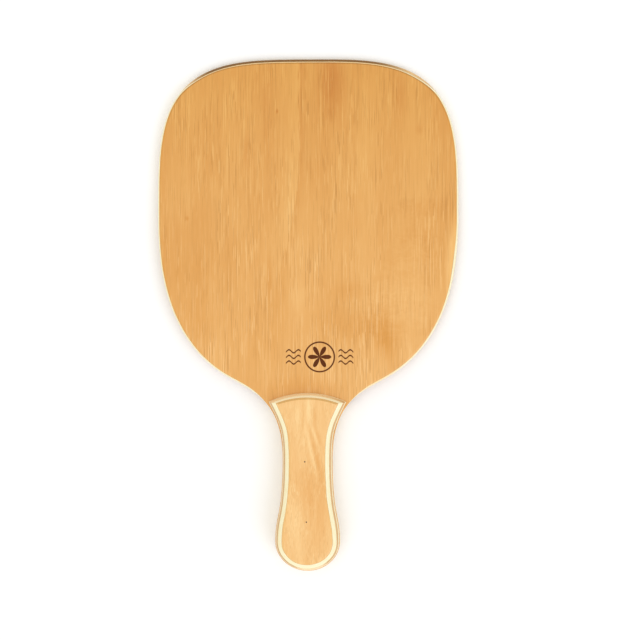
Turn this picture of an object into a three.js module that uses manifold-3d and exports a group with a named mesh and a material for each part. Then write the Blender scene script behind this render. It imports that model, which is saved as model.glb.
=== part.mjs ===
// Beach racket of five-ply wood: a blade with a waisted tang, and a cheek glued and pinned on each side
// of the tang. It lies on its back cheek. Millimetres, +Z out of the front face, +Y from the butt of the
// handle to the crown of the blade, origin under the middle of the racket on the surface that it lies on.
import * as THREE from 'three';
import { mergeVertices } from 'three/addons/utils/BufferGeometryUtils.js';
import Module from 'manifold-3d';

const wasm = await Module();
wasm.setup();

// The sheet that blade and cheeks are cut from: two face veneers, two crossbands and a core
const faceVeneer = 0.6;
const crossband = 2.3;
const core = 2.2;

// The whole racket, butt to crown
const length = 402;

// Blade, seen from the front: a squarish crown over two full flanks, each a superellipse
const bladeWidth = 236.4;
const crownHeight = 120;
const flankDepth = 143;
const crownSquareness = 3.5;
const flankSquareness = 2.45;
const bladeEdgeRadius = 3;

// Neck and grip of the tang, with places measured up from the butt
const shoulderWidth = 131;
const waistWidth = 39.2;
const waistFromButt = 88;
const bellyWidth = 50.8;
const bellyFromButt = 23;
const neckStartShare = 0.3;
const neckEndShare = 0.59;
const gripStartShare = 0.69;
const gripEndShare = 0.33;

// Cheeks: their outline stands back from the tang's, and their top is an arc that ends in two corners
const cheekStandBack = 0.5;
const cheekArcRadius = 72;
const cheekTopFromButt = 139.6;
const cheekTopWidth = 61;
const cheekCornerLean = THREE.MathUtils.degToRad(26);
const flareStartShare = 0.51;
const flareEndShare = 0.41;

// Pins through each cheek into the tang, with the small hole that each has punched for itself
const pinDiameter = 1.2;
const pinHeadDiameter = 1.6;
const pinHeadHeight = 0.9;
const pinPoint = 1.5;
const pinBite = 6;
const pinSetBack = 0.3;
const pinClearance = 0.1;
const upperPinFromButt = 86.2;
const upperPinOffCentre = -1.8;
const lowerPinFromButt = 39;
const lowerPinOffCentre = -0.5;
const backPinStagger = 9;

// Fineness of the faceted curves, and the overrun of every cut past what it cuts
const crownSteps = 40;
const flankSteps = 15;
const curveSteps = 8;
const buttSteps = 12;
const arcSteps = 14;
const bladeEdgeSteps = 3;
const cheekEdgeSteps = 5;
const tangentTurn = THREE.MathUtils.degToRad(0.1);
const pinSides = 12;
const overrun = 1;

// Places and sizes that follow
const sheet = faceVeneer + crossband + core + crossband + faceVeneer;
const crownY = length / 2;
const buttY = -length / 2;
const widestY = crownY - crownHeight;
const waistY = buttY + waistFromButt;
const bellyY = buttY + bellyFromButt;
const cheekTopY = buttY + cheekTopFromButt;
const bladeEdge = Math.min(bladeEdgeRadius, sheet / 2 - faceVeneer);
const pinLength = sheet - pinSetBack + pinBite;

const bladeFaceWood = { color: 0xe1a95f, roughness: 0.5, metalness: 0 };
const cheekFaceWood = { color: 0xf7c583, roughness: 0.5, metalness: 0 };
const crossbandWood = { color: 0xffeebe, roughness: 0.65, metalness: 0 };
const coreWood = { color: 0xdcbb86, roughness: 0.65, metalness: 0 };
const pinSteel = { color: 0x5a4030, roughness: 0.5, metalness: 1 };

// Solids, with what joins and cuts them

function solidOf(geometry) {
  geometry.deleteAttribute('normal');
  geometry.deleteAttribute('uv');
  const merged = mergeVertices(geometry);
  const vertProperties = new Float32Array(merged.attributes.position.array);
  const triVerts = new Uint32Array(merged.index.array);
  return new wasm.Manifold(new wasm.Mesh({ numProp: 3, vertProperties, triVerts }));
}

function geometryOf(solid) {
  const mesh = solid.getMesh();
  const geometry = new THREE.BufferGeometry();
  geometry.setAttribute('position', new THREE.BufferAttribute(mesh.vertProperties, 3));
  geometry.setIndex(new THREE.BufferAttribute(mesh.triVerts, 1));
  geometry.computeVertexNormals();
  return geometry;
}

function pieceOf(name, solid, wood) {
  const piece = new THREE.Mesh(geometryOf(solid), new THREE.MeshStandardMaterial(wood));
  piece.name = name;
  return piece;
}

// A flat panel from z = low to z = high, square at its edges
function squarePanel(outline, low, high) {
  const shape = new THREE.Shape(outline);
  const panel = new THREE.ExtrudeGeometry(shape, { depth: high - low, bevelEnabled: false });
  return solidOf(panel.translate(0, 0, low));
}

// The same panel with both edges rounded over, inside its outline
function roundedPanel(outline, low, high, radius, steps) {
  const panel = new THREE.ExtrudeGeometry(new THREE.Shape(outline), {
    depth: high - low - 2 * radius,
    bevelThickness: radius,
    bevelSize: radius,
    bevelOffset: -radius,
    bevelSegments: steps,
  });
  return solidOf(panel.translate(0, 0, low + radius));
}

// Outlines, as points that run anticlockwise

const mirrored = (points) => points.map((p) => new THREE.Vector2(-p.x, p.y)).reverse();

// Point of a superellipse about (0, widestY), at an angle from the +X axis
function onSuperellipse(angle, depth, squareness) {
  const across = Math.abs(Math.cos(angle)) / (bladeWidth / 2);
  const along = Math.abs(Math.sin(angle)) / depth;
  const reach = (across ** squareness + along ** squareness) ** (-1 / squareness);
  return new THREE.Vector2(reach * Math.cos(angle), widestY + reach * Math.sin(angle));
}

// Angle at which the flank has come in to the shoulder's width
function shoulderAngle() {
  const halfWidth = shoulderWidth / 2;
  const inShare = shoulderWidth / bladeWidth;
  const drop = flankDepth * (1 - inShare ** flankSquareness) ** (1 / flankSquareness);
  return -Math.atan2(drop, halfWidth);
}

// Cubic curve from start to end, leaving along one direction and arriving along the other
function bend(start, leaving, startShare, end, arriving, endShare) {
  const span = start.distanceTo(end);
  const first = start.clone().addScaledVector(leaving, startShare * span);
  const second = end.clone().addScaledVector(arriving, -endShare * span);
  return new THREE.CubicBezierCurve(start, first, second, end).getPoints(curveSteps);
}

const up = new THREE.Vector2(0, 1);

// Right half of the grip from the middle of the butt to the waist, set in from the tang by standBack
function gripSide(standBack) {
  const belly = new THREE.Vector2(bellyWidth / 2 - standBack, bellyY);
  const waist = new THREE.Vector2(waistWidth / 2 - standBack, waistY);
  const points = [];
  for (let i = 0; i <= buttSteps; i += 1) {
    const angle = (i / buttSteps - 1) * Math.PI / 2;
    const drop = (bellyFromButt - standBack) * Math.sin(angle);
    points.push(new THREE.Vector2(belly.x * Math.cos(angle), bellyY + drop));
  }
  points[0].x = 0;
  return points.concat(bend(belly, up, gripEndShare, waist, up, gripStartShare).slice(1));
}

// Outline of blade and tang
function bladeOutline() {
  const side = gripSide(0);
  const waist = side[side.length - 1];
  const start = shoulderAngle();
  const shoulder = onSuperellipse(start, flankDepth, flankSquareness);
  const rising = onSuperellipse(start + tangentTurn, flankDepth, flankSquareness).sub(shoulder).normalize();
  side.push(...bend(waist, up, neckEndShare, shoulder, rising, neckStartShare).slice(1));
  for (let i = 1; i <= flankSteps; i += 1) {
    side.push(onSuperellipse(start * (1 - i / flankSteps), flankDepth, flankSquareness));
  }
  for (let i = 1; i <= crownSteps / 2; i += 1) {
    side.push(onSuperellipse(Math.PI * i / crownSteps, crownHeight, crownSquareness));
  }
  side[side.length - 1].x = 0;
  return side.concat(mirrored(side).slice(1, -1));
}

// Outline of a cheek's two sides, run on past its corners so that the arc can cut it off
function cheekSidesOutline() {
  const side = gripSide(cheekStandBack);
  const waist = side[side.length - 1];
  const halfTop = cheekTopWidth / 2;
  const fall = cheekArcRadius - Math.sqrt(cheekArcRadius ** 2 - halfTop ** 2);
  const corner = new THREE.Vector2(halfTop, cheekTopY - fall);
  const rising = new THREE.Vector2(Math.sin(cheekCornerLean), Math.cos(cheekCornerLean));
  side.push(...bend(waist, up, flareStartShare, corner, rising, flareEndShare).slice(1));
  const runOn = (fall + sheet + overrun) / rising.y;
  side.push(corner.clone().addScaledVector(rising, runOn));
  return side.concat(mirrored(side).slice(0, -1));
}

// Outline of the arc that tops a cheek, wider and longer than the cheek on its other sides
function cheekArcOutline() {
  const halfSpan = Math.asin((cheekTopWidth / 2 + sheet + overrun) / cheekArcRadius);
  const points = [];
  for (let i = 0; i <= arcSteps; i += 1) {
    const angle = halfSpan * (1 - 2 * i / arcSteps);
    const rise = cheekArcRadius * (Math.cos(angle) - 1);
    points.push(new THREE.Vector2(cheekArcRadius * Math.sin(angle), cheekTopY + rise));
  }
  const first = points[0];
  const under = buttY - sheet - overrun;
  return [new THREE.Vector2(-first.x, under), new THREE.Vector2(first.x, under), ...points];
}

// Pins. Each stands in its cheek's frame, where z = 0 is the glue line and the cheek lies above it

function pinPlaces(stagger) {
  return {
    upper: new THREE.Vector3(upperPinOffCentre, buttY + upperPinFromButt - stagger, -pinBite),
    lower: new THREE.Vector3(lowerPinOffCentre, buttY + lowerPinFromButt + stagger, -pinBite),
  };
}

// A pin's turned shape, stood up from Y to Z with its point down, with room all round it when room is
// not zero
function pinGeometry(room) {
  const shank = pinDiameter / 2 + room;
  const head = pinHeadDiameter / 2 + room;
  const top = room > 0 ? pinLength + pinSetBack + overrun : pinLength;
  const profile = [
    new THREE.Vector2(0, -room),
    new THREE.Vector2(shank, pinPoint - room),
    new THREE.Vector2(shank, pinLength - pinHeadHeight - room),
    new THREE.Vector2(head, pinLength - pinHeadHeight / 2 - room),
    new THREE.Vector2(head, top),
    new THREE.Vector2(0, top),
  ];
  return new THREE.LatheGeometry(profile, pinSides).rotateX(Math.PI / 2);
}

// The holes that a cheek's pins have punched, in that cheek's frame
function pinHoles(places) {
  const room = pinClearance / Math.cos(Math.PI / pinSides);
  const holes = Object.values(places).map((place) => solidOf(pinGeometry(room).translate(...place)));
  return holes[0].add(holes[1]);
}

// Slices a solid into the five plies of the sheet, from z = 0 up
function plies(solid) {
  const thicknesses = [faceVeneer, crossband, core, crossband, faceVeneer];
  const reach = length;
  const frameOutline = [
    new THREE.Vector2(-reach, -reach),
    new THREE.Vector2(reach, -reach),
    new THREE.Vector2(reach, reach),
    new THREE.Vector2(-reach, reach),
  ];
  let low = 0;
  return thicknesses.map((thickness) => {
    const high = low + thickness;
    const ply = solid.intersect(squarePanel(frameOutline, low, high));
    low = high;
    return ply;
  });
}

const frontPins = pinPlaces(0);
const backPins = pinPlaces(backPinStagger);

// The back cheek and its pins are a front cheek turned over about the racket's long axis
const turnOver = new THREE.Matrix4().makeRotationY(Math.PI);
const turnedOver = (solid) => solid.transform(turnOver.elements);

// Blade: rounded at its edge, and left square under the cheeks
function bladeSolid() {
  const sides = squarePanel(cheekSidesOutline(), 0, sheet);
  const arc = squarePanel(cheekArcOutline(), 0, sheet);
  const rounded = roundedPanel(bladeOutline(), 0, sheet, bladeEdge, bladeEdgeSteps);
  const frontHoles = pinHoles(frontPins).translate([0, 0, sheet]);
  const backHoles = turnedOver(pinHoles(backPins));
  return rounded.add(sides.intersect(arc)).subtract(frontHoles).subtract(backHoles);
}

// Cheek: a handle-shaped panel and an arc-topped panel, both rounded over their full thickness, where
// they meet. Both are made twice as thick and the lower half is left off by the plies.
function cheekSolid(places) {
  const low = -sheet - overrun;
  const sides = roundedPanel(cheekSidesOutline(), low, sheet, sheet, cheekEdgeSteps);
  const arc = roundedPanel(cheekArcOutline(), low, sheet, sheet, cheekEdgeSteps);
  return sides.intersect(arc).subtract(pinHoles(places));
}

function bladeGroup() {
  const [backVeneer, backCrossband, middle, frontCrossband, frontVeneer] = plies(bladeSolid());
  const group = new THREE.Group();
  group.add(pieceOf('blade_back_veneer', backVeneer, bladeFaceWood));
  group.add(pieceOf('blade_back_crossband', backCrossband, crossbandWood));
  group.add(pieceOf('blade_core', middle, coreWood));
  group.add(pieceOf('blade_front_crossband', frontCrossband, crossbandWood));
  group.add(pieceOf('blade_front_veneer', frontVeneer, bladeFaceWood));
  return group;
}

function cheekGroup(name, places) {
  const [bondVeneer, innerCrossband, middle, outerCrossband, face] = plies(cheekSolid(places));
  const group = new THREE.Group();
  group.add(pieceOf(`${name}_bond_veneer`, bondVeneer, bladeFaceWood));
  group.add(pieceOf(`${name}_inner_crossband`, innerCrossband, crossbandWood));
  group.add(pieceOf(`${name}_core`, middle, coreWood));
  group.add(pieceOf(`${name}_outer_crossband`, outerCrossband, crossbandWood));
  group.add(pieceOf(`${name}_face_veneer`, face, cheekFaceWood));
  for (const [which, place] of Object.entries(places)) {
    const pin = pieceOf(`${name}_${which}_pin`, solidOf(pinGeometry(0)), pinSteel);
    pin.position.copy(place);
    group.add(pin);
  }
  return group;
}

const racket = new THREE.Group();
const blade = bladeGroup();
const frontCheek = cheekGroup('front_cheek', frontPins);
const backCheek = cheekGroup('back_cheek', backPins);
blade.position.z = sheet;
frontCheek.position.z = 2 * sheet;
backCheek.position.z = sheet;
backCheek.rotation.y = Math.PI;
racket.add(blade, frontCheek, backCheek);

export default racket;
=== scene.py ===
# Looks of a beach racket of five-ply wood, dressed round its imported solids. Metres, with +Y from the butt
# of the handle to the crown of the blade and +Z out of the front face.
import math

import bpy
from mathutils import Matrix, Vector, geometry, noise


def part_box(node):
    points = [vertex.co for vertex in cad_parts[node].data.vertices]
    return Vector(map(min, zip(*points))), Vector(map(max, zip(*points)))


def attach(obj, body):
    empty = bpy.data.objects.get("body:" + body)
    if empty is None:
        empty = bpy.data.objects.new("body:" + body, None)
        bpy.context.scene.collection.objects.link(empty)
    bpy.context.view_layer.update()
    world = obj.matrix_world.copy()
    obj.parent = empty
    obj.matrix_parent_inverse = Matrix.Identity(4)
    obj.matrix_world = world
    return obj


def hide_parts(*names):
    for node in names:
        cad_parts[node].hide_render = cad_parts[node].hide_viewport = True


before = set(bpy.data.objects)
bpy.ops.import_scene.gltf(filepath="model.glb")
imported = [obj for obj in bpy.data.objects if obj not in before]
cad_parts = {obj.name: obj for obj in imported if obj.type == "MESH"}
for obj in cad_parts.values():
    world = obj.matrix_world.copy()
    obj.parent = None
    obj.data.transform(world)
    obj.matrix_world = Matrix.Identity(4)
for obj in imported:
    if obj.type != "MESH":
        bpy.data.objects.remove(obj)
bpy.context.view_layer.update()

# Blade core. The middle ply of the sheet: brownish okoume with its grain along the racket, cut to the
# blade's outline with the whole sheet. Only its sanded edge is seen, as the darkest line round the edge.
MM = 0.001
core_low, core_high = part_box("blade_core")
blade_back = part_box("blade_back_veneer")[0].z
blade_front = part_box("blade_front_veneer")[1].z
veneer_thickness = blade_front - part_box("blade_front_veneer")[0].z
butt_y, crown_y, half_blade = core_low.y, core_high.y, core_high.x
crown_height = 120 * MM
flank_depth = 143 * MM
crown_squareness = 3.5
flank_squareness = 2.45
half_shoulder = 65.5 * MM
half_waist = 19.6 * MM
waist_y = butt_y + 88 * MM
half_belly = 25.4 * MM
belly_height = 23 * MM
neck_shares = (0.59, 0.3)
grip_shares = (0.33, 0.69)
butt_steps, grip_steps, neck_steps, flank_steps, crown_steps = 22, 26, 26, 60, 64

blade_edge = 3 * MM
crown_bevel = ((0, 3.7 * MM), (0.6 * MM, 2.75 * MM), (2.9 * MM, 1.85 * MM), (4 * MM, 0))
tang_edge = 0.5 * MM
neck_edge = 1.1 * MM
neck_edge_low, neck_edge_high = -100 * MM, -70 * MM
blade_edge_from = -56 * MM
blade_slope_share = 0.43
wear_y, wear_reach = 42 * MM, 38 * MM
wear_radius, wear_slope = 0.9 * MM, 0.35

glue_strip = 0.04 * MM
ply_wander = 0.09 * MM
ply_wander_length = 14 * MM
wander_per_depth = 40
tangent_turn = 0.001
crown_facing_from, crown_facing_to = 0.55, 0.9


def superellipse(angle, depth, squareness):
    """Point of the blade's outline at an angle from +X about the middle of its widest line."""
    across = abs(math.cos(angle)) / half_blade
    along = abs(math.sin(angle)) / depth
    reach = (across**squareness + along**squareness) ** (-1 / squareness)
    return Vector((reach * math.cos(angle), crown_y - crown_height + reach * math.sin(angle)))


def bend(start, leaving, end, arriving, shares, steps):
    """Points after start on a cubic curve that leaves and arrives along two directions."""
    span = (end - start).length
    first = start + leaving * shares[0] * span
    second = end - arriving * shares[1] * span
    points = []
    for i in range(1, steps + 1):
        t = i / steps
        u = 1 - t
        points.append(u**3 * start + 3 * u * u * t * first + 3 * u * t * t * second + t**3 * end)
    return points


def grip_side(stand_back):
    """Right half of the grip's outline from the butt to the waist, set in by stand_back."""
    belly = Vector((half_belly - stand_back, butt_y + belly_height))
    waist = Vector((half_waist - stand_back, waist_y))
    drop = belly_height - stand_back
    points = []
    for i in range(butt_steps + 1):
        turn = (i / butt_steps - 1) * math.pi / 2
        points.append(Vector((belly.x * math.cos(turn), belly.y + drop * math.sin(turn))))
    up = Vector((0, 1))
    return points + bend(belly, up, waist, up, grip_shares, grip_steps)


def with_normals(points, closed):
    """Pairs of a point and the outward direction there, for points that run anticlockwise."""
    pairs = []
    last = len(points) - 1
    for i, point in enumerate(points):
        before = points[i - 1] if closed or i > 0 else point
        after = points[(i + 1) % len(points)] if closed or i < last else point
        along = (after - before).normalized()
        pairs.append((point, Vector((along.y, -along.x))))
    return pairs


def blade_outline():
    """The whole outline of blade and tang, anticlockwise from the middle of the butt."""
    share = half_shoulder / half_blade
    drop = flank_depth * (1 - share**flank_squareness) ** (1 / flank_squareness)
    start = -math.atan2(drop, half_shoulder)
    shoulder = superellipse(start, flank_depth, flank_squareness)
    rising = (superellipse(start + tangent_turn, flank_depth, flank_squareness) - shoulder).normalized()
    side = grip_side(0)
    side += bend(side[-1], Vector((0, 1)), shoulder, rising, neck_shares, neck_steps)
    for i in range(1, flank_steps + 1):
        side.append(superellipse(start * (1 - i / flank_steps), flank_depth, flank_squareness))
    for i in range(1, crown_steps + 1):
        side.append(superellipse(math.pi / 2 * i / crown_steps, crown_height, crown_squareness))
    left = [Vector((-p.x, p.y)) for p in reversed(side[1:-1])]
    return with_normals(side + left, True)


def eased(value):
    """0 below 0, 1 above 1 and smooth between."""
    value = min(1, max(0, value))
    return value * value * (3 - 2 * value)


def edge_at(depth, radius, slope_share):
    """Set-in of a sanded edge at a depth below its face, with the normal's flat and upright parts: a
    round up to the face veneer, then a straight slope through it that ends crisply."""
    below = max(depth, veneer_thickness)
    upright = max(0, radius - below) / radius
    flat = math.sqrt(1 - upright * upright)
    inset = radius * (1 - flat)
    if depth >= veneer_thickness:
        return inset, flat, upright
    run = radius * slope_share
    slope = Vector((veneer_thickness, run)).normalized()
    return inset + run * (1 - depth / veneer_thickness), slope.x, slope.y


def bevel_at(depth, bevel):
    """Set-in of a straight bevel given as pairs of depth and set-in, with the normal's two parts."""
    for (above, inset_above), (below, inset_below) in zip(bevel, bevel[1:]):
        if depth <= below or below == bevel[-1][0]:
            share = min(1, (depth - above) / (below - above))
            slope = Vector((below - above, inset_above - inset_below)).normalized()
            return inset_above + (inset_below - inset_above) * share, slope.x, slope.y


def wander(point, depth):
    """How far a ply's joint strays from its depth at a point of the outline."""
    place = Vector((point.x, point.y, depth * wander_per_depth)) / ply_wander_length
    return ply_wander * noise.noise(place)


def blade_ring(face, depth, shift_share):
    """Ring of (place, normal before, normal after) round the blade at a depth below one of its faces."""
    facing = 1 if face == blade_front else -1
    ring = []
    for point, outward in blade_sides:
        up_neck = eased((point.y - neck_edge_low) / (neck_edge_high - neck_edge_low))
        up_shoulder = eased((point.y - neck_edge_high) / (blade_edge_from - neck_edge_high))
        radius = tang_edge + (neck_edge - tang_edge) * up_neck + (blade_edge - neck_edge) * up_shoulder
        worn = eased(1 - abs(point.y - wear_y) / wear_reach) if point.x > 0 else 0
        turned = (outward.y - crown_facing_from) / (crown_facing_to - crown_facing_from)
        at_crown = eased(turned) if point.y > 0 else 0
        deep = depth + shift_share * wander(point, depth)
        round_off = edge_at(deep, radius + wear_radius * worn, blade_slope_share + wear_slope * worn)
        bevel = bevel_at(deep, crown_bevel)
        inset, flat, upright = (a + (b - a) * at_crown for a, b in zip(round_off, bevel))
        place = point - outward * inset
        normal = Vector((outward.x * flat, outward.y * flat, facing * upright)).normalized()
        ring.append((Vector((place.x, place.y, face - facing * deep)), normal, normal))
    return ring


def ply_depths(shallow, deep, steps):
    """Depths from deep to shallow in even steps, with thin strips of glue at the joints."""
    inner = [deep + (shallow - deep) * i / steps for i in range(1, steps)]
    ends = [shallow + glue_strip, shallow] if shallow > 0 else [shallow]
    return [deep, deep - glue_strip, *inner, *ends]


hole_steps = 20


def hole_ring(centre, radius, z):
    """Ring of places round a pin's hole, anticlockwise."""
    turns = [2 * math.pi * i / hole_steps for i in range(hole_steps)]
    return [Vector((centre.x + radius * math.cos(t), centre.y + radius * math.sin(t), z)) for t in turns]


def put_in_scene(name, shape):
    """An object in the scene for a mesh, a lamp or a camera."""
    made = bpy.data.objects.new(name, shape)
    bpy.context.scene.collection.objects.link(made)
    return made


def solid_from_rings(name, rings, glued, holes, woods):
    """A closed piece from rings, lowest first. glued names the rows that are glue. Each hole is a
    (centre, radius, floor, roof), cut where it reaches into the piece."""
    count = len(rings[0])
    places = [place for ring in rings for place, _, _ in ring]
    faces, shading, slots = [], [], []

    for row in range(len(rings) - 1):
        lower, upper = rings[row], rings[row + 1]
        for i in range(count):
            j = (i + 1) % count
            faces.append((row * count + i, row * count + j, (row + 1) * count + j, (row + 1) * count + i))
            shading.append((lower[i][2], lower[j][1], upper[j][1], upper[i][2]))
            slots.append(1 if row in glued else 0)

    def add_ring(ring):
        places.extend(ring)
        return list(range(len(places) - len(ring), len(places)))

    def fill(loops, upward):
        outlines = [[places[k].xy.to_3d() for k in loop] for loop in loops]
        index = [k for loop in loops for k in loop]
        way = Vector((0, 0, 1 if upward else -1))
        for triangle in geometry.tessellate_polygon(outlines):
            a, b, c = (index[k] for k in triangle)
            turn = (places[b] - places[a]).cross(places[c] - places[a]).z
            if (turn > 0) != upward:
                b, c = c, b
            faces.append((a, b, c))
            shading.append((way, way, way))
            slots.append(0)

    low = min(place.z for place, _, _ in rings[0])
    high = max(place.z for place, _, _ in rings[-1])
    bottom = [list(range(count))]
    top = [list(range((len(rings) - 1) * count, len(rings) * count))]
    for centre, radius, floor, roof in holes:
        if roof <= low or floor >= high:
            continue
        down = add_ring(hole_ring(centre, radius, max(low, floor)))
        up = add_ring(hole_ring(centre, radius, min(high, roof)))
        for i in range(hole_steps):
            j = (i + 1) % hole_steps
            faces.append((down[j], down[i], up[i], up[j]))
            axis = Vector((centre.x, centre.y, places[down[i]].z))
            before, after = ((axis - places[k]).normalized() for k in (down[j], down[i]))
            shading.append((before, after, after, before))
            slots.append(0)
        if floor > low:
            fill([down], True)
        else:
            bottom.append(down)
        if roof < high:
            fill([up], False)
        else:
            top.append(up)
    fill(bottom, False)
    fill(top, True)

    mesh = bpy.data.meshes.new(name)
    mesh.from_pydata(places, [], faces)
    mesh.polygons.foreach_set("material_index", slots)
    mesh.polygons.foreach_set("use_smooth", [True] * len(faces))
    for wood in woods:
        mesh.materials.append(wood)
    mesh.update()
    mesh.normals_split_custom_set([normal for face in shading for normal in face])
    piece = put_in_scene(name, mesh)
    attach(piece, "root")
    return piece


def colour(code):
    """Linear colour of an sRGB hex code such as E1A95F."""
    parts = [int(code[i : i + 2], 16) / 255 for i in (0, 2, 4)]
    linear = [c / 12.92 if c <= 0.04045 else ((c + 0.055) / 1.055) ** 2.4 for c in parts]
    return (*linear, 1)


def add(tree, kind, inputs=None, **settings):
    """Adds one shader node with its settings, and sets or links its inputs."""
    made = tree.nodes.new("ShaderNode" + kind)
    for key, value in settings.items():
        setattr(made, key, value)
    for key, value in (inputs or {}).items():
        if isinstance(value, bpy.types.NodeSocket):
            tree.links.new(value, made.inputs[key])
        else:
            made.inputs[key].default_value = value
    return made


def empty_material(name):
    """A material with no nodes yet."""
    made = bpy.data.materials.new(name)
    made.use_nodes = True
    made.node_tree.nodes.clear()
    return made


def per_mm(x, y, z):
    """Scale that gives a pattern features of about these sizes in millimetres."""
    return (1 / (x * MM), 1 / (y * MM), 1 / (z * MM))


# Fibres in the edge of a ply are 5 mm long, and cut pores are specks of 0.5 mm. Real fibres are finer than a
# hair, and are drawn 0.2 to 0.35 mm apart so that they show. The tints at an edge's ends are strongest where
# it faces a little to the left of the racket's length
fibre_length = 5.0
speck_size = 0.5
end_tint_lean = math.radians(8)
fibre_share, speck_share = 1.2, 0.5
tone_from, tone_to = 0.3, 0.9
edge_relief = 0.05 * MM
painted_end_from, painted_end_to = 0.84, 0.97


def sanded_edge(name, dark, light, fibre, roughness, ends_with_painted_light=None):
    """Sanded edge of a ply: fibres that run round the edge, fibre mm apart, and specks of cut pores. The last
    argument is the dark and the light where the edge faces along the grain, at the crown, the arc and the
    butt: painted shade on the blade's core and painted light on the cheeks' plies."""
    wood = empty_material(name)
    tree = wood.node_tree
    place = add(tree, "TexCoord").outputs["Object"]
    fibre_scale = per_mm(fibre_length, fibre_length, fibre)
    speck_scale = per_mm(speck_size, speck_size, speck_size)
    layers = add(tree, "VectorMath", {0: place, 1: fibre_scale}, operation="MULTIPLY")
    specks = add(tree, "VectorMath", {0: place, 1: speck_scale}, operation="MULTIPLY")
    streaks = add(tree, "TexNoise", {"Vector": layers.outputs[0], "Scale": 1, "Detail": 3, "Roughness": 0.6})
    pores = add(tree, "TexNoise", {"Vector": specks.outputs[0], "Scale": 1, "Detail": 1})
    tone = {0: pores.outputs["Fac"], 1: speck_share, 2: -speck_share / 2}
    tone = add(tree, "Math", tone, operation="MULTIPLY_ADD")
    tone = {0: streaks.outputs["Fac"], 1: fibre_share, 2: tone.outputs[0]}
    tone = add(tree, "Math", tone, operation="MULTIPLY_ADD")
    tone = add(tree, "MapRange", {0: tone.outputs[0], 1: tone_from, 2: tone_to})
    paint = add(tree, "Mix", {0: tone.outputs[0], 6: colour(dark), 7: colour(light)}, data_type="RGBA")
    # Tints at the ends: painted shade on the blade's core, painted light on the cheeks' plies
    if ends_with_painted_light:
        end_paint_with_light = add(tree, "Mix", {
            0: tone.outputs[0],
            6: colour(ends_with_painted_light[0]),
            7: colour(ends_with_painted_light[1]),
        }, data_type="RGBA")
        facing = add(tree, "NewGeometry").outputs["Normal"]
        facing = add(tree, "VectorMath", {0: facing, 1: (1, 1, 0)}, operation="MULTIPLY").outputs[0]
        facing = add(tree, "VectorMath", {0: facing}, operation="NORMALIZE").outputs[0]
        grain = (-math.sin(end_tint_lean), math.cos(end_tint_lean), 0)
        along = add(tree, "VectorMath", {0: facing, 1: grain}, operation="DOT_PRODUCT").outputs["Value"]
        along = add(tree, "Math", {0: along}, operation="ABSOLUTE").outputs[0]
        share = add(tree, "MapRange", {0: along, 1: painted_end_from, 2: painted_end_to}).outputs[0]
        paint = add(tree, "Mix", {0: share, 6: paint.outputs[2], 7: end_paint_with_light.outputs[2]}, data_type="RGBA")
    relief = add(tree, "Bump", {"Strength": 0.3, "Distance": edge_relief, "Height": tone.outputs[0]})
    shader = add(tree, "BsdfPrincipled", {
        "Base Color": paint.outputs[2],
        "Roughness": roughness,
        "Coat Weight": 0.15,
        "Coat Roughness": 0.35,
        "Normal": relief.outputs[0],
    })
    add(tree, "OutputMaterial", {"Surface": shader.outputs[0]})
    return wood


# Okoume, sanded and lacquered: tan with fine fibres, and dark brown at the crown and the butt. Its end grain
# soaks up the lacquer there, and the dark brown is also painted shade for the crown's edge in shadow
core_end_grain_and_shade_tints = ("6E450A", "90631A")
blade_core_wood_painted_shade = sanded_edge("okoume_blade_core_edge_painted_shade", "D2A569", "EFCA95", 0.3, 0.5, core_end_grain_and_shade_tints)
# Set urea glue, squeezed to a hair and darkened by sanding dust: a thin brown line, duller than the wood
glue_line = sanded_edge("urea_glue_line", "BC8F57", "D0A46D", 0.2, 0.6)

blade_sides = blade_outline()

# Each pin passes through the plies in a hole that it presses for itself, from the cheek's face to a little
# past its point
pin_hole_radius = 0.55 * MM
pin_hole_past_point = 0.1 * MM
pin_hole_overrun = 10 * MM


def pin_hole(node, facing):
    """The hole of one cheek's pin: (centre, radius, floor, roof)."""
    low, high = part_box(node)
    centre = (low + high) / 2
    if facing > 0:
        return (centre, pin_hole_radius, low.z - pin_hole_past_point, high.z + pin_hole_overrun)
    return (centre, pin_hole_radius, low.z - pin_hole_overrun, high.z + pin_hole_past_point)


# The four pins, with 1 for those that point down from the front and -1 for those from the back
pins = {
    "front_cheek_upper_pin": 1,
    "front_cheek_lower_pin": 1,
    "back_cheek_upper_pin": -1,
    "back_cheek_lower_pin": -1,
}
pin_holes = [pin_hole(node, facing) for node, facing in pins.items()]


def core_rings():
    """Rings of the blade's core, which meet the crossbands' inner joints."""
    deep_back = core_low.z - blade_back
    deep_front = blade_front - core_high.z
    middle = (blade_front - blade_back) / 2
    rings = [blade_ring(blade_back, deep_back, 1), blade_ring(blade_back, deep_back + glue_strip, 1)]
    rings += [blade_ring(blade_front, middle, 0)]
    rings += [blade_ring(blade_front, deep_front + glue_strip, 1), blade_ring(blade_front, deep_front, 1)]
    return rings


blade_core = solid_from_rings("blade_core_ply", core_rings(), {0, 3}, pin_holes, [blade_core_wood_painted_shade, glue_line])
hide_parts("blade_core")

# Blade crossbands. Two plies of pale poplar with their grain across the racket, one on each side of the
# core. They make most of the sheet's thickness, and their rounded edge is the cream line round the blade.


def ply_from_rings(name, rings, from_front, glued_above, wood):
    """A ply from rings that start at its deeper joint. It has glue there, and above too unless it ends in
    an open face."""
    glued = {0, len(rings) - 2} if glued_above else {0}
    if not from_front:
        rings.reverse()
        last = len(rings) - 2
        glued = {last - row for row in glued}
    piece = solid_from_rings(name + "_ply", rings, glued, pin_holes, [wood, glue_line])
    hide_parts(name)
    return piece


def blade_ply(name, face, span, wood, steps):
    """A ply of the blade between two depths below one face, cut to the blade's outline."""
    shallow, deep = span
    rings = []
    for depth in ply_depths(shallow, deep, steps):
        share = 1 if shallow > 0 else depth / deep
        rings.append(blade_ring(face, depth, share))
    return ply_from_rings(name, rings, face == blade_front, shallow > 0, wood)
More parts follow.
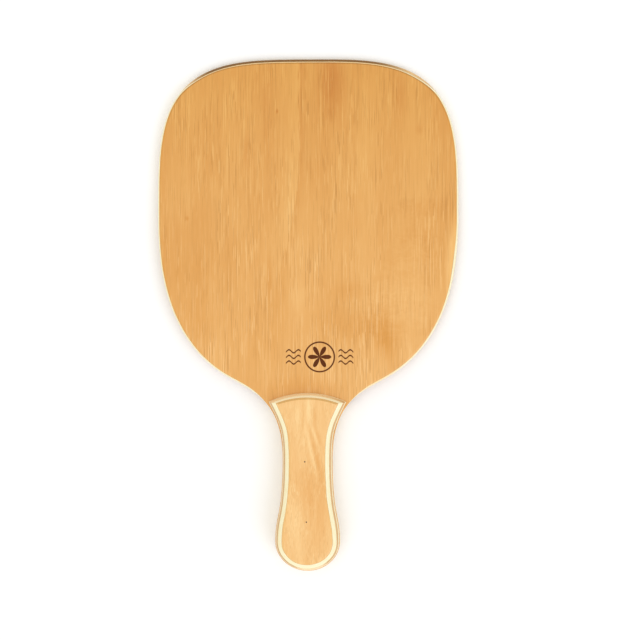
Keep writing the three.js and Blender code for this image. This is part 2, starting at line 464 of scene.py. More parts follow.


# Poplar, sanded and lacquered: cream with faint fibres, and more golden where its edge faces along the grain,
# as at the crown
crossband_tints = ("F3E3AB", "F8F4D6")
crown_tints = ("F9D394", "FFE6B2")
crossband_wood = sanded_edge("poplar_blade_crossband_sanded_edge", *crossband_tints, 0.35, 0.5, crown_tints)
crossband_depth = blade_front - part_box("blade_front_crossband")[0].z
crossband_span = (veneer_thickness, crossband_depth)
crossband_steps = 8
for name, face in (("blade_back_crossband", blade_back), ("blade_front_crossband", blade_front)):
    crossband = blade_ply(name, face, crossband_span, crossband_wood, crossband_steps)

# Blade face veneers. A leaf of okoume on each face, peeled from the log, its grain along the racket:
# orange tan with fine dark and pale pores and soft streaks, under one thin coat of satin lacquer.
flow_size = (60, 170, 60)
flow_swing = 2 * MM
pore_spread_size = (16, 34, 34)
pores_sparse, pores_thick = 0.3, 1.5
pore_chance = 0.34
dash_rim, dash_core = 0.4, 0.22
pale_pore_share, dark_pore_share = 0.7, 0.46
figure_depth = 40
veneer_relief = 0.06 * MM
lacquer_roughness, pore_roughness = 0.42, 0.6
# Painted shade on a leaf's chamfer where it faces the crown: the span of the normal's part along the racket
# over which it comes in, and the share of the colour kept there
shaded_slope_from, shaded_slope_to = 0.1, 0.3
soak_and_shade_share = (0.78, 0.74, 0.6, 1)


def soft_oval(tree, place, centre, radii, lean):
    """Mask that fades from 1 at the centre of an oval to 0 at its rim. Centre and radii are in mm."""
    every_depth = 1000
    oval = add(tree, "Mapping", {
        "Vector": place,
        "Location": (centre[0] * MM, centre[1] * MM, 0),
        "Rotation": (0, 0, math.radians(lean)),
        "Scale": (radii[0] * MM, radii[1] * MM, every_depth),
    }, vector_type="TEXTURE")
    fade = add(tree, "TexGradient", {"Vector": oval.outputs[0]}, gradient_type="SPHERICAL")
    return add(tree, "MapRange", {0: fade.outputs["Fac"]}, interpolation_type="SMOOTHSTEP").outputs[0]


def dashes(tree, grain, across, along, chance):
    """Masks of short dark streaks and of short pale ones, each in its own cell of about this size."""
    scaled = add(tree, "VectorMath", {0: grain, 1: per_mm(across, along, along)}, operation="MULTIPLY")
    cell = add(tree, "TexVoronoi", {
        "Vector": scaled.outputs[0],
        "Scale": 1,
    }, voronoi_dimensions="2D", distance="CHEBYCHEV")
    drawn = add(tree, "MapRange", {0: cell.outputs["Distance"], 1: dash_rim, 2: dash_core}).outputs[0]
    lot = add(tree, "SeparateColor", {0: cell.outputs["Color"]}).outputs[0]
    dark = add(tree, "MapRange", {0: lot, 1: 1 - chance, 2: 1}).outputs[0]
    pale = add(tree, "MapRange", {0: lot, 1: chance, 2: 0}).outputs[0]
    dark = add(tree, "Math", {0: drawn, 1: dark}, operation="MULTIPLY").outputs[0]
    pale = add(tree, "Math", {0: drawn, 1: pale}, operation="MULTIPLY").outputs[0]
    return dark, pale


def veneer(name, tints, shift, layers, pore_sizes, pore_weight):
    """Peeled okoume under satin lacquer. tints are its dark, its light, its dark pores and its pale ones,
    shift moves the figure, each layer is (size across, size along, detail, weight) and each pore size is
    (size across, size along), all in mm."""
    wood = empty_material(name)
    tree = wood.node_tree
    place = add(tree, "TexCoord").outputs["Object"]
    moved = add(tree, "VectorMath", {0: place, 1: tuple(s * MM for s in shift)}, operation="ADD").outputs[0]

    # The grain swings from side to side by about a millimetre, over the length of a hand
    flow = add(tree, "VectorMath", {0: moved, 1: per_mm(*flow_size)}, operation="MULTIPLY").outputs[0]
    flow = add(tree, "TexNoise", {"Vector": flow, "Scale": 1, "Detail": 1}).outputs["Fac"]
    flow = add(tree, "Math", {0: flow, 1: flow_swing, 2: -flow_swing / 2}, operation="MULTIPLY_ADD")
    flow = add(tree, "CombineXYZ", {0: flow.outputs[0]}).outputs[0]
    grain = add(tree, "VectorMath", {0: moved, 1: flow}, operation="ADD").outputs[0]

    tone = 0.5
    for across, along, detail, weight in layers:
        size = per_mm(across, along, figure_depth)
        scaled = add(tree, "VectorMath", {0: grain, 1: size}, operation="MULTIPLY")
        figure = add(tree, "TexNoise", {"Vector": scaled.outputs[0], "Scale": 1, "Detail": detail})
        off = {0: figure.outputs["Fac"], 1: weight, 2: -weight / 2}
        off = add(tree, "Math", off, operation="MULTIPLY_ADD")
        tone = add(tree, "Math", {0: off.outputs[0], 1: tone}, operation="ADD").outputs[0]
    # What is peculiar to one leaf is added to its figure here
    figured = add(tree, "Math", {0: tone, 1: 0}, operation="ADD", name="figured")

    # Pores: dark and pale dashes, thick in some places and sparse in others. Real ones are about 0.2 mm
    # wide and a few millimetres long, and are drawn wider and in longer rows here so that they show
    spread = add(tree, "VectorMath", {0: grain, 1: per_mm(*pore_spread_size)}, operation="MULTIPLY")
    spread = add(tree, "TexNoise", {"Vector": spread.outputs[0], "Scale": 1, "Detail": 2})
    spread = {0: spread.outputs["Fac"], 1: 0.34, 2: 0.66, 3: pores_sparse, 4: pores_thick}
    spread = add(tree, "MapRange", spread).outputs[0]
    dark_long, pale_long = dashes(tree, grain, *pore_sizes[0], pore_chance)
    dark_short, pale_short = dashes(tree, moved, *pore_sizes[1], pore_chance)
    dark = add(tree, "Math", {0: dark_long, 1: dark_short}, operation="MAXIMUM").outputs[0]
    pale = add(tree, "Math", {0: pale_long, 1: pale_short}, operation="MAXIMUM").outputs[0]
    dark = add(tree, "Math", {0: dark, 1: spread}, operation="MULTIPLY").outputs[0]
    pale = add(tree, "Math", {0: pale, 1: spread}, operation="MULTIPLY").outputs[0]
    tone = figured.outputs[0]
    paint = add(tree, "Mix", {0: tone, 6: colour(tints[0]), 7: colour(tints[1])}, data_type="RGBA").outputs[2]
    shine = add(tree, "Math", {0: pale, 1: pale_pore_share * pore_weight}, operation="MULTIPLY").outputs[0]
    paint = add(tree, "Mix", {0: shine, 6: paint, 7: colour(tints[3])}, data_type="RGBA").outputs[2]
    depth = add(tree, "Math", {0: dark, 1: dark_pore_share * pore_weight}, operation="MULTIPLY").outputs[0]
    paint = add(tree, "Mix", {0: depth, 6: paint, 7: colour(tints[2])}, data_type="RGBA").outputs[2]

    # Painted shade: the chamfer at a leaf's edge is darkened only where it faces the crown, away from the
    # lamps. The end grain it bares soaks up some lacquer too
    rising = add(tree, "SeparateXYZ", {0: add(tree, "NewGeometry").outputs["Normal"]}).outputs[1]
    rising = add(tree, "MapRange", {0: rising, 1: shaded_slope_from, 2: shaded_slope_to}).outputs[0]
    soak_and_shade = add(tree, "Mix", {0: rising, 6: (1, 1, 1, 1), 7: soak_and_shade_share}, data_type="RGBA").outputs[2]
    paint = add(tree, "VectorMath", {0: paint, 1: soak_and_shade}, operation="MULTIPLY")
    relief = add(tree, "Math", {0: depth, 1: -1.0, 2: tone}, operation="MULTIPLY_ADD").outputs[0]
    relief = add(tree, "Bump", {"Strength": 0.35, "Distance": veneer_relief, "Height": relief})
    gloss = add(tree, "MapRange", {0: dark, 3: lacquer_roughness, 4: pore_roughness})
    shader = add(tree, "BsdfPrincipled", {
        "Base Color": paint.outputs[0],
        "Roughness": gloss.outputs[0],
        "Coat Weight": 0.2,
        "Coat Roughness": 0.3,
        "Normal": relief.outputs[0],
    }, name="surface")
    add(tree, "OutputMaterial", {"Surface": shader.outputs[0]})
    return wood


def add_tone(tree, tone):
    """Adds a tone to what already lightens or darkens a leaf's figure."""
    sink = tree.nodes["figured"].inputs[1]
    if sink.is_linked:
        tone = add(tree, "Math", {0: tone, 1: sink.links[0].from_socket}, operation="ADD").outputs[0]
    tree.links.new(tone, sink)


def add_patches(wood, patches):
    """Adds soft ovals to a leaf's figure: (centre in mm, radii in mm, lean in degrees, tone)."""
    tree = wood.node_tree
    place = add(tree, "TexCoord").outputs["Object"]
    tone = 0.0
    for centre, radii, lean, weight in patches:
        mask = soft_oval(tree, place, centre, radii, lean)
        tone = add(tree, "Math", {0: mask, 1: weight, 2: tone}, operation="MULTIPLY_ADD").outputs[0]
    add_tone(tree, tone)


def add_ripples(wood, ripples):
    """Adds curls a few millimetres wide that run across the grain, inside soft ovals given like patches."""
    tree = wood.node_tree
    place = add(tree, "TexCoord").outputs["Object"]
    curl = add(tree, "VectorMath", {0: place, 1: per_mm(*curl_size)}, operation="MULTIPLY")
    curl = add(tree, "TexNoise", {"Vector": curl.outputs[0], "Scale": 1, "Detail": 3, "Distortion": 1.6})
    curl = add(tree, "Math", {0: curl.outputs["Fac"], 1: 0.5}, operation="SUBTRACT").outputs[0]
    reach = 0.0
    for centre, radii, lean, weight in ripples:
        mask = soft_oval(tree, place, centre, radii, lean)
        reach = add(tree, "Math", {0: mask, 1: weight, 2: reach}, operation="MULTIPLY_ADD").outputs[0]
    add_tone(tree, add(tree, "Math", {0: curl, 1: reach}, operation="MULTIPLY").outputs[0])


def add_seam(wood):
    """Adds the sharp side of a growth band that runs down the leaf left of its middle: pale wood that
    fades to the left of it, and a narrow olive line to its right."""
    low_x, low_y = -27 * MM, -10 * MM
    high_x, high_y = -6.6 * MM, 120 * MM
    sharp = 0.4 * MM
    fray_size, fray = (1.0, 16, 16), 9 * MM
    pale_reach, pale_tone = 24 * MM, 0.3
    olive_reach, olive_tone = 7 * MM, -0.12
    foot_from, foot_to = -10 * MM, 90 * MM
    tree = wood.node_tree
    place = add(tree, "TexCoord").outputs["Object"]
    parts = add(tree, "SeparateXYZ", {0: place}).outputs
    drift = {0: parts[1], 1: high_y, 2: low_y, 3: -high_x, 4: -low_x}
    drift = add(tree, "MapRange", drift, interpolation_type="SMOOTHSTEP")
    off = add(tree, "Math", {0: parts[0], 1: drift.outputs[0]}, operation="ADD").outputs[0]
    frayed = add(tree, "VectorMath", {0: place, 1: per_mm(*fray_size)}, operation="MULTIPLY").outputs[0]
    frayed = add(tree, "TexNoise", {"Vector": frayed, "Scale": 1, "Detail": 1}).outputs["Fac"]
    frayed = add(tree, "Math", {0: frayed, 1: fray, 2: -fray / 2}, operation="MULTIPLY_ADD").outputs[0]
    off = add(tree, "Math", {0: off, 1: frayed}, operation="ADD").outputs[0]
    pale = {0: off, 1: -pale_reach, 2: -sharp, 3: 0, 4: 1}
    pale = add(tree, "MapRange", pale, interpolation_type="SMOOTHSTEP").outputs[0]
    side = add(tree, "MapRange", {0: off, 1: -sharp, 2: sharp, 3: 1, 4: 0}).outputs[0]
    olive = add(tree, "MapRange", {0: off, 1: olive_reach, 2: sharp, 3: 0, 4: olive_tone}).outputs[0]
    tone = add(tree, "Math", {0: pale, 1: pale_tone}, operation="MULTIPLY").outputs[0]
    tone = add(tree, "Mix", {0: side, 2: olive, 3: tone}).outputs[0]
    foot = add(tree, "MapRange", {0: parts[1], 1: foot_from, 2: foot_to, 3: 0, 4: 1}).outputs[0]
    add_tone(tree, add(tree, "Math", {0: tone, 1: foot}, operation="MULTIPLY").outputs[0])


def paint_shade_lengthways(wood, crown_painted_shade, neck_painted_light):
    """Paints shade and light along a leaf, as if the light fell off toward the crown: darker and more orange
    at the crown, and lighter at the neck.
    """
    tree = wood.node_tree
    surface = tree.nodes["surface"]
    place = add(tree, "TexCoord").outputs["Object"]
    height = add(tree, "SeparateXYZ", {0: place}).outputs[1]
    height = add(tree, "MapRange", {0: height, 1: painted_shade_from_y, 2: painted_shade_to_y}).outputs[0]
    shade = add(tree, "Mix", {0: height, 6: crown_painted_shade, 7: neck_painted_light}, data_type="RGBA").outputs[2]
    paint = surface.inputs["Base Color"].links[0].from_socket
    paint = add(tree, "VectorMath", {0: paint, 1: shade}, operation="MULTIPLY").outputs[0]
    tree.links.new(paint, surface.inputs["Base Color"])


def burn_ornament(wood):
    """Burns a plain ornament into a leaf above the handle: a ring round six petals, with three short
    waves on each side. Burnt wood is dull, and has no lacquer left on it."""
    tree = wood.node_tree
    surface = tree.nodes["surface"]
    centre = (9.5 * MM, -33 * MM, 0)
    burnt_wood, darkness = "521E04", 0.96
    petal_count = 6
    # The rest are in millimetres
    petal_reach, ring_radius = 9.2, 11.6
    wave_height, wave_length, wave_gap = 1.2, 7.4, 4.4
    waves_from, waves_to, waves_up = 14.8, 26.5, 6.3
    half_line, half_soft = 0.6, 0.2

    place = add(tree, "TexCoord").outputs["Object"]
    place = add(tree, "VectorMath", {0: place, 1: centre}, operation="SUBTRACT").outputs[0]
    place = add(tree, "VectorMath", {0: place, 1: (1 / MM, 1 / MM, 0)}, operation="MULTIPLY").outputs[0]
    x, y, _ = add(tree, "SeparateXYZ", {0: place}).outputs
    radius = add(tree, "VectorMath", {0: place}, operation="LENGTH").outputs["Value"]

    # Each step is (what it gives, operation, what it takes). petals, ring and wave come out above zero
    # inside their strokes and below zero outside them
    steps = (
        ("turn", "ARCTAN2", "y", "x"),
        ("turns", "MULTIPLY", "turn", petal_count / 2),
        ("swell", "COSINE", "turns"),
        ("swell", "ABSOLUTE", "swell"),
        ("reach", "MULTIPLY", "swell", petal_reach),
        ("petals", "SUBTRACT", "reach", "radius"),
        ("off ring", "SUBTRACT", "radius", ring_radius),
        ("off ring", "ABSOLUTE", "off ring"),
        ("ring", "SUBTRACT", half_line, "off ring"),
        ("side", "ABSOLUTE", "x"),
        ("phase", "MULTIPLY", "side", 2 * math.pi / wave_length),
        ("swing", "SINE", "phase"),
        ("swing", "MULTIPLY", "swing", wave_height),
        ("lift", "SUBTRACT", "y", "swing"),
        ("near", "WRAP", "lift", wave_gap / 2, -wave_gap / 2),
        ("near", "ABSOLUTE", "near"),
        ("wave", "SUBTRACT", half_line, "near"),
        ("inner end", "SUBTRACT", "side", waves_from),
        ("wave", "MINIMUM", "wave", "inner end"),
        ("outer end", "SUBTRACT", waves_to, "side"),
        ("wave", "MINIMUM", "wave", "outer end"),
        ("height", "ABSOLUTE", "lift"),
        ("top", "SUBTRACT", waves_up, "height"),
        ("wave", "MINIMUM", "wave", "top"),
        ("mark", "MAXIMUM", "petals", "ring"),
        ("mark", "MAXIMUM", "mark", "wave"),
    )
    made = {"x": x, "y": y, "radius": radius}
    for result, operation, *values in steps:
        taken = {i: made.get(value, value) for i, value in enumerate(values)}
        made[result] = add(tree, "Math", taken, operation=operation).outputs[0]
    mark = {0: made["mark"], 1: -half_soft, 2: half_soft, 3: 0, 4: darkness}
    mark = add(tree, "MapRange", mark).outputs[0]

    paint = surface.inputs["Base Color"].links[0].from_socket
    paint = add(tree, "Mix", {0: mark, 6: paint, 7: colour(burnt_wood)}, data_type="RGBA").outputs[2]
    tree.links.new(paint, surface.inputs["Base Color"])
    for key, dull in (("Coat Weight", 0.0), ("Specular IOR Level", 0.05)):
        lacquered = surface.inputs[key].default_value
        level = add(tree, "MapRange", {0: mark, 3: lacquered, 4: dull}).outputs[0]
        tree.links.new(level, surface.inputs[key])


curl_size = (9, 5.5, 9)
# Painted shade along the blade's leaves: darker and more orange toward the crown, lighter toward the neck
painted_shade_from_y, painted_shade_to_y = 190 * MM, -20 * MM
crown_painted_shade, neck_painted_light = (0.905, 0.855, 0.51, 1), (1.05, 1.13, 1.31, 1)
blade_layers = (
    (26.0, 420.0, 2, 0.5),
    (6.0, 180.0, 2, 0.17),
    (1.9, 120.0, 2, 0.11),
    (0.8, 60.0, 2, 0.15),
    (40.0, 55.0, 3, 0.44),
)
# Darker and paler patches of the front leaf
front_figure_and_shade_patches = (
    ((18.6, 184), (15, 46), 0, -0.42),
    ((18, 176), (4, 9), 0, -0.12),
    ((20, 158), (4, 9), 0, -0.16),
    ((72, 171), (9, 32), 0, -0.28),
    ((-32, 156), (7, 52), 0, -0.22),
    ((-48, 130), (5, 22), 0, -0.22),
    ((90, 83), (34, 13), 4, -0.16),
    ((85, 57), (18, 22), 0, -0.26),
    ((84, 53), (11, 17), 0, 0.26),
    ((90, 20), (36, 42), 0, 0.1),
    ((36, 18), (22, 12), 0, -0.16),
    ((62, -22), (12, 36), 14, -0.26),
    ((-8, 14), (12, 20), 0, 0.22),
    ((88, 145), (5, 6), 0, -0.20),
    ((-30, 28), (3, 30), 0, -0.30),
    ((118, 42), (12, 46), 0, 1.0),
    ((-95, 76), (2.5, 3), 0, -0.4),
    ((-24, 160), (1.6, 3), 0, -0.6),
    ((-92, 20), (52, 90), 0, -0.22),
    ((-92, 172), (34, 44), 0, 0.14),
    ((18, 108), (16, 54), 0, 0.12),
    ((96, 112), (40, 66), 0, 0.16),
    ((50, -12), (36, 28), 0, -0.32),
    ((-63, 46), (20, 36), 0, -0.16),
    ((18, -8), (20, 26), 0, -0.16),
    ((-9, 56), (20, 120), 0, 0.12),
    ((40, 130), (30, 60), 0, 0.06),
    # Painted shade: darker just above the cheek's arc, where the cheek shades the blade
    ((0, -58), (44, 15), 0, -0.2),
)
front_ripples = (
    ((90, 84), (38, 18), 0, 0.5),
    ((84, 50), (34, 34), 0, 0.6),
    ((70, 5), (60, 48), 0, 0.5),
)
# Okoume, peeled, sanded and lacquered satin: a warm orange tan with a soft sheen, finely broken by pores.
# The back leaf is another stretch of the same wood
blade_tints = ("CF8418", "EBB162", "92560A", "F6C47C")
blade_pores = ((0.8, 52), (0.7, 16))
blade_figure = (blade_layers, blade_pores, 0.62)
back_shift = (310, 90, 40)
front_figure = veneer("okoume_front_leaf_satin_painted_shade", blade_tints, (0, 0, 0), *blade_figure)
back_figure = veneer("okoume_back_leaf_satin_painted_shade", blade_tints, back_shift, *blade_figure)
add_patches(front_figure, front_figure_and_shade_patches)
add_ripples(front_figure, front_ripples)
add_seam(front_figure)
# Both blade leaves get the painted shade along their length
for leaf_wood in (front_figure, back_figure):
    paint_shade_lengthways(leaf_wood, crown_painted_shade, neck_painted_light)
burn_ornament(front_figure)
veneer_steps = 3
veneers = (("blade_back_veneer", blade_back, back_figure), ("blade_front_veneer", blade_front, front_figure))
for name, face, figure in veneers:
    leaf = blade_ply(name, face, (0, veneer_thickness), figure, veneer_steps)

# Cheeks. Two handle-shaped pieces of the same sheet, glued to the tang front and back. Each is rounded
# over its whole thickness on every side, so that its plies show as bands round the paler face, and its
# top is sanded to a narrower, straighter bevel.
cheek_stand_back = 0.5 * MM
cheek_arc_radius = 72 * MM
half_cheek_top = 30.5 * MM
cheek_top_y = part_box("front_cheek_bond_veneer")[1].y
cheek_lean = math.radians(26)
flare_shares = (0.51, 0.41)
flare_steps = 30
cheek_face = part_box("front_cheek_face_veneer")[1].z
cheek_round = cheek_face - blade_front
cheek_slope_share = 0.18
cheek_side_steps = 84
cheek_arc_steps = 36
# Within this reach of a cheek's top corners the joints stray less
corner_calm = 6 * MM
# Two depths that differ by less than this are the same joint
size_play = 0.01 * MM
cheek_arc_fall = cheek_arc_radius - math.sqrt(cheek_arc_radius**2 - half_cheek_top**2)
cheek_corner = Vector((half_cheek_top, cheek_top_y - cheek_arc_fall))

cheek_parts = ("face_veneer", "outer_crossband", "core", "inner_crossband", "bond_veneer")
joint_depths = [0, *(cheek_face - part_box("front_cheek_" + part)[0].z for part in cheek_parts)]
arc_setbacks = [4.8 * MM, 3.2 * MM, 1.65 * MM, 0.4 * MM, 0.1 * MM, 0]


def arc_slope(k):
    """Normal's flat and upright parts on the bevel of a cheek's ply, counted from its face."""
    return Vector((joint_depths[k + 1] - joint_depths[k], arc_setbacks[k] - arc_setbacks[k + 1])).normalized()


def arc_edge_at(depth):
    """Set-in of the bevel at a cheek's top, with the normal's flat and upright parts. It is straight
    through the face veneer and rounded a little from ply to ply below it."""
    k = 0
    while k < len(cheek_parts) - 1 and depth > joint_depths[k + 1]:
        k += 1
    share = (depth - joint_depths[k]) / (joint_depths[k + 1] - joint_depths[k])
    inset = arc_setbacks[k] + (arc_setbacks[k + 1] - arc_setbacks[k]) * share
    if k == 0:
        return inset, *arc_slope(0)
    above = arc_slope(k) + arc_slope(k - 1)
    below = arc_slope(k) + arc_slope(min(k + 1, len(cheek_parts) - 1))
    slope = (above * (1 - share) + below * share).normalized()
    return inset, slope.x, slope.y


def cheek_edge_at(depth, on_arc):
    """Set-in and normal parts of a cheek's edge, on its arc or on its sides."""
    if on_arc:
        return arc_edge_at(depth)
    return edge_at(depth, cheek_round, cheek_slope_share)


def cheek_side_line():
    """Right side of a cheek from the butt to a little past its top corner, with its normals."""
    rising = Vector((math.sin(cheek_lean), math.cos(cheek_lean)))
    side = grip_side(cheek_stand_back)
    side += bend(side[-1], Vector((0, 1)), cheek_corner, rising, flare_shares, flare_steps)
    side.append(cheek_corner + rising * MM)
    pairs = with_normals(side, False)
    pairs[0] = (pairs[0][0], Vector((0, -1)))
    return pairs


def cheek_plan(side_inset, arc_inset):
    """A cheek's outline set in from its sides and from its arc: (point, (normal before, on the arc),
    (normal after, on the arc)), anticlockwise."""
    centre = Vector((0, cheek_top_y - cheek_arc_radius))
    reach = cheek_arc_radius - arc_inset
    side = [(point - outward * side_inset, outward) for point, outward in cheek_sides]
    kept = [side[0]]
    for (point, outward), (after, outward_after) in zip(side, side[1:]):
        if after.y > centre.y and (after - centre).length > reach:
            near, far = (point - centre).length, (after - centre).length
            share = (reach - near) / (far - near)
            kept.append((point.lerp(after, share), outward.lerp(outward_after, share).normalized()))
            break
        kept.append((after, outward_after))

    lengths = [0]
    for (point, _), (after, _) in zip(kept, kept[1:]):
        lengths.append(lengths[-1] + (after - point).length)
    right = []
    k = 0
    for i in range(cheek_side_steps + 1):
        wanted = lengths[-1] * i / cheek_side_steps
        while k < len(kept) - 2 and lengths[k + 1] < wanted:
            k += 1
        share = min(1, (wanted - lengths[k]) / (lengths[k + 1] - lengths[k]))
        (point, outward), (after, outward_after) = kept[k], kept[k + 1]
        normal = outward.lerp(outward_after, share).normalized()
        right.append((point.lerp(after, share), (normal, False), (normal, False)))

    corner = right[-1][0]
    half_turn = math.asin(corner.x / reach)
    arc = []
    for i in range(cheek_arc_steps + 1):
        turn = half_turn * (1 - 2 * i / cheek_arc_steps)
        normal = Vector((math.sin(turn), math.cos(turn)))
        arc.append((centre + normal * reach, (normal, True), (normal, True)))
    right[-1] = (corner, right[-1][1], arc[0][2])

    def mirrored(way):
        return (Vector((-way[0].x, way[0].y)), way[1])

    left = []
    for point, before, after in reversed(right[1:]):
        left.append((Vector((-point.x, point.y)), mirrored(after), mirrored(before)))
    return right + arc[1:-1] + left


cheek_sides = cheek_side_line()


def cheek_ring(face, depth, shift_share):
    """Ring of (place, normal before, normal after) round a cheek at a depth below its outer face."""
    facing = 1 if face > blade_front else -1
    insets = {on_arc: cheek_edge_at(depth, on_arc)[0] for on_arc in (False, True)}
    ring = []
    for point, before, after in cheek_plan(insets[False], insets[True]):
        calm = min(1, (Vector((abs(point.x), point.y)) - cheek_corner).length / corner_calm)
        deep = depth + calm * shift_share * wander(point, depth)
        own_inset = cheek_edge_at(deep, before[1])[0]
        place = point - (before[0] + after[0]).normalized() * (own_inset - insets[before[1]]) * calm
        ways = []
        for normal, on_arc in (before, after):
            _, flat, upright = cheek_edge_at(depth, on_arc)
            ways.append(Vector((normal.x * flat, normal.y * flat, facing * upright)))
        ring.append((Vector((place.x, place.y, face - facing * deep)), *ways))
    return ring


def cheek_ply(name, face, span, wood, steps):
    """A ply of a cheek between two depths below its outer face. Its faces lie flat at the cheek's own face
    and on the blade."""
    shallow, deep = span
    rings = []
    for depth in ply_depths(shallow, deep, steps):
        share = 1
        if shallow == 0:
            share = depth / deep
        if deep > cheek_round - size_play:
            share = (deep - depth) / (deep - shallow)
        rings.append(cheek_ring(face, depth, share))
    return ply_from_rings(name, rings, face > blade_front, shallow > 0, wood)


# Cheek leaves: okoume too, paler and pinker than the blade's, with a feathered figure. The front one's
# streaks are listed one by one: two pale ones at the top, and two diagonal feathers down the middle
cheek_layers = (
    (11.0, 120.0, 2, 0.30),
    (4.2, 30.0, 2, 0.32),
    (1.5, 12.0, 2, 0.20),
    (20.0, 34.0, 3, 0.24),
)
cheek_pores = ((0.7, 9), (0.6, 4))
cheek_patches = (
    ((0, -78), (24, 32), 0, 0.08),
    ((0, -136), (26, 30), 0, -0.20),
    ((1.6, -74), (3.0, 17), 0, 0.26),
    ((-7.4, -77), (2.6, 19), 0, 0.24),
    ((6.5, -80), (3.5, 16), 0, -0.22),
    ((-3.4, -82), (2.4, 18), 0, -0.22),
    ((3.3, -107), (2.8, 34), 13.4, 0.28),
    ((6.6, -108), (3.2, 34), 13.4, -0.28),
    ((5.6, -93), (2.2, 15), 19, 0.22),
    ((8.4, -94), (2.4, 15), 19, -0.24),
    ((9, -155), (11, 46), -4, -0.20),
    ((-9, -160), (9, 44), 0, 0.16),
)
cheek_tints = ("E09C42", "FCD593", "A2661A", "FFE6AA")
cheek_figure = (cheek_layers, cheek_pores, 0.36)
cheek_front_shift, cheek_back_shift = (500, 40, 10), (-420, 200, 70)
cheek_front_figure = veneer("okoume_front_cheek_satin_painted_shade", cheek_tints, cheek_front_shift, *cheek_figure)
cheek_back_figure = veneer("okoume_back_cheek_satin_painted_shade", cheek_tints, cheek_back_shift, *cheek_figure)
add_patches(cheek_front_figure, cheek_patches)

# Okoume again for the core and for the thin leaf on the blade, sanded and lacquered: light brown bands along
# the sides, and paler ones at the arc and the butt. The paler ends are painted light, to make up for the arc
# facing away from the lamps
core_painted_light_ends = ("F4CC92", "FFE3B6")
cheek_core_wood_painted_light = sanded_edge("okoume_cheek_core_edge_painted_light", "C69558", "E4BC84", 0.3, 0.5, core_painted_light_ends)
bond_painted_light_ends = ("F0C58C", "FAD8A6")
bond_wood_painted_light = sanded_edge("okoume_bond_veneer_edge_painted_light", "D2A365", "E4BE88", 0.2, 0.5, bond_painted_light_ends)
# Poplar, sanded and lacquered: the broad cream band inside the brown ones, a little warmer and brighter at
# the ends with painted light for the arc
band_painted_light_ends = ("FCE6B4", "FFF3D2")
cheek_band_wood_painted_light = sanded_edge("poplar_cheek_crossband_edge_painted_light", *crossband_tints, 0.35, 0.5, band_painted_light_ends)

cheek_steps = {"face_veneer": 3, "outer_crossband": 10, "core": 7, "inner_crossband": 6, "bond_veneer": 3}
for cheek, figure in (("front_cheek", cheek_front_figure), ("back_cheek", cheek_back_figure)):
    face_low, face_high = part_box(cheek + "_face_veneer")
    face = face_high.z if cheek == "front_cheek" else face_low.z
    woods = {
        "face_veneer": figure,
        "outer_crossband": cheek_band_wood_painted_light,
        "core": cheek_core_wood_painted_light,
        "inner_crossband": cheek_band_wood_painted_light,
        "bond_veneer": bond_wood_painted_light,
    }
    for part in cheek_parts:
        low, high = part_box(f"{cheek}_{part}")
        depths = sorted((abs(face - low.z), abs(face - high.z)))
        ply = cheek_ply(f"{cheek}_{part}", face, depths, woods[part], cheek_steps[part])

# Pins. Thin steel pins driven through each cheek into the tang while the glue sets, and punched just
# below the surface, where they show as small dark dots.
pin_turns = 24
tip_radius, point_length = 0.03 * MM, 1.5 * MM
shank_radius = 0.55 * MM
head_radius, head_height, head_chamfer = 0.62 * MM, 0.9 * MM, 0.1 * MM
dimple_radius, dimple_floor, dimple_depth = 0.3 * MM, 0.1 * MM, 0.12 * MM

# Blued steel, dulled by dust and a little rust: dark brown with hardly any shine. The blotches of rust are
# 0.4 mm across
pin_metal = empty_material("blued_steel_pin")
pin_tree = pin_metal.node_tree
pin_place = add(pin_tree, "TexCoord").outputs["Object"]
rust = add(pin_tree, "VectorMath", {0: pin_place, 1: per_mm(0.4, 0.4, 0.8)}, operation="MULTIPLY")
rust = add(pin_tree, "TexNoise", {"Vector": rust.outputs[0], "Scale": 1, "Detail": 3}).outputs["Fac"]
rust = add(pin_tree, "Mix", {0: rust, 6: colour("3A2A20"), 7: colour("6B5648")}, data_type="RGBA")
pin_shader = add(pin_tree, "BsdfPrincipled", {
    "Base Color": rust.outputs[2],
    "Metallic": 1.0,
    "Roughness": 0.55,
})
add(pin_tree, "OutputMaterial", {"Surface": pin_shader.outputs[0]})


def steel_pin(name, facing):
    """A turned pin: point, shank, and a small upset head with a dimple from the punch."""
    low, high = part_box(name)
    centre = (low + high) / 2
    length = high.z - low.z
    profile = (
        (tip_radius, 0),
        (shank_radius, point_length),
        (shank_radius, length - head_height),
        (head_radius, length - head_height / 2),
        (head_radius, length - head_chamfer),
        (head_radius - head_chamfer, length),
        (dimple_radius, length),
        (dimple_floor, length - dimple_depth),
    )
    start = low.z if facing > 0 else high.z
    places, faces = [], []
    for radius, along in profile:
        for i in range(pin_turns):
            turn = 2 * math.pi * i / pin_turns
            z = start + facing * along
            places.append((centre.x + radius * math.cos(turn), centre.y + radius * math.sin(turn), z))
    for row in range(len(profile) - 1):
        lower, upper = row * pin_turns, (row + 1) * pin_turns
        for i in range(pin_turns):
            j = (i + 1) % pin_turns
            corners = (lower + i, lower + j, upper + j, upper + i)
            faces.append(corners if facing > 0 else corners[::-1])
    ends = [tuple(range(pin_turns)), tuple(range(len(places) - pin_turns, len(places)))]
    faces.append(ends[0][::-1] if facing > 0 else ends[0])
    faces.append(ends[1] if facing > 0 else ends[1][::-1])
    mesh = bpy.data.meshes.new(name + "_steel")
    mesh.from_pydata(places, [], faces)
    mesh.materials.append(pin_metal)
    mesh.update()
    piece = put_in_scene(name + "_steel", mesh)
    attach(piece, "root")
    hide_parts(name)


for name, facing in pins.items():
    steel_pin(name, facing)

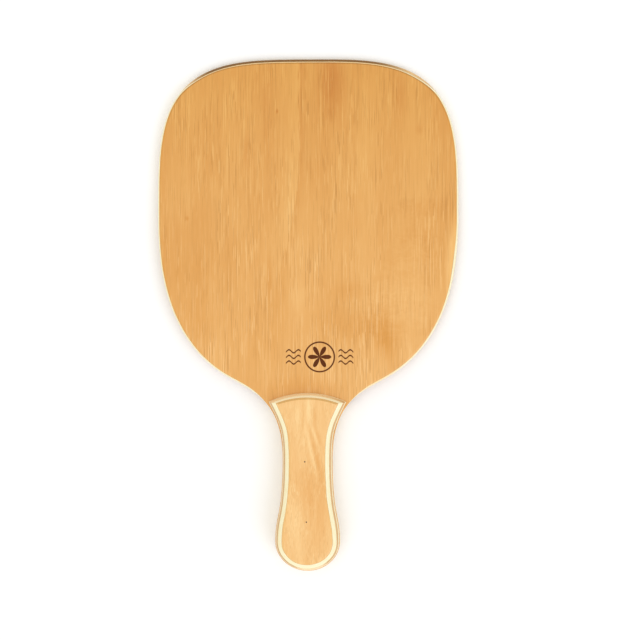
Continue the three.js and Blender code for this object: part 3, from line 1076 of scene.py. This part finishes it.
# Stage. A sheet of white paper, with soft daylight all round and three broad lamps above. The racket tips
# on its heavy blade, so the paper touches it at two places: under the crown's back edge and under the arc
# edge of the back cheek.
crown_contact = Vector((0, crown_y - crown_bevel[0][1], blade_back))
cheek_contact = Vector((0, cheek_top_y - arc_setbacks[0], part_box("back_cheek_face_veneer")[0].z))
floor_gap = 0.05 * MM
floor_half_width = 0.9
floor_foot_y, floor_head_y = -0.55, 0.27


def floor_height(y):
    """Height of the paper at a place along the racket."""
    slope = (crown_contact.z - cheek_contact.z) / (crown_contact.y - cheek_contact.y)
    return cheek_contact.z + slope * (y - cheek_contact.y) - floor_gap


floor_mesh = bpy.data.meshes.new("floor")
floor_corners = [
    (side * floor_half_width, y, floor_height(y))
    for side, y in ((-1, floor_foot_y), (1, floor_foot_y), (1, floor_head_y), (-1, floor_head_y))
]
floor_mesh.from_pydata(floor_corners, [], [(0, 1, 2, 3)])
floor = put_in_scene("floor", floor_mesh)
# White paper, matt: plain white but for the racket's shadow
paper = empty_material("white_paper_matt")
paper_face = add(paper.node_tree, "BsdfDiffuse", {"Color": colour("FFFFFE")})
add(paper.node_tree, "OutputMaterial", {"Surface": paper_face.outputs[0]})
floor_mesh.materials.append(paper)

# The sky lights the racket evenly, and is plain white where it is seen past the paper or mirrored
world = bpy.data.worlds.new("daylight")
bpy.context.scene.world = world
world.use_nodes = True
world.node_tree.nodes.clear()
sky_level = 0.84
sky_colour = (1.03, 0.995, 0.9, 1)
rays = add(world.node_tree, "LightPath").outputs
seen = add(world.node_tree, "Math", {0: rays["Is Camera Ray"], 1: rays["Is Glossy Ray"]}, operation="MAXIMUM")
seen = add(world.node_tree, "Math", {0: seen.outputs[0], 1: rays["Is Transmission Ray"]}, operation="MAXIMUM")
level = add(world.node_tree, "MapRange", {0: seen.outputs[0], 3: sky_level, 4: 1.0})
tint = add(world.node_tree, "Mix", {0: seen.outputs[0], 6: sky_colour, 7: (1, 1, 1, 1)}, data_type="RGBA")
sky = add(world.node_tree, "Background", {"Color": tint.outputs[2], "Strength": level.outputs[0]})
add(world.node_tree, "OutputWorld", {"Surface": sky.outputs[0]})

# Three broad lamps with a cool cast: one overhead, and one from each side of the handle, the right
# one the stronger
lamp_size = math.radians(38)
lamp_colour = (0.215, 0.244, 0.324)
# The way each lamp lies, and its share of the light
lamps = (((-0.1, 0.0, 1), 0.3), ((-0.6, -0.8, 1), 0.22), ((0.8, -0.7, 1), 0.48))
for direction, share in lamps:
    lamp_from = Vector(direction).normalized()
    lamp = bpy.data.lights.new("lamp", "SUN")
    lamp.energy = share * math.pi / lamp_from.z
    lamp.color = lamp_colour
    lamp.angle = lamp_size
    put_in_scene("lamp", lamp).rotation_euler = lamp_from.to_track_quat("Z", "Y").to_euler()

# Camera. Straight above the racket but for a slight lean from its right, as in the photograph, and far
# enough away to take in the whole racket with a margin all round.
picture_width = 502.4 * MM
picture_middle = Vector((9.81 * MM, -4.02 * MM, blade_front))
camera_distance = 1.6
camera_lean = math.radians(2.5)
camera = bpy.data.cameras.new("camera")
camera.sensor_width = 36
camera.lens = camera.sensor_width * camera_distance / picture_width
camera_object = put_in_scene("camera", camera)
away = Vector((math.sin(camera_lean), 0, math.cos(camera_lean)))
camera_object.location = picture_middle + away * camera_distance
camera_object.rotation_euler = (0, camera_lean, 0)
bpy.context.scene.camera = camera_object
bpy.context.scene.view_settings.view_transform = "Standard"
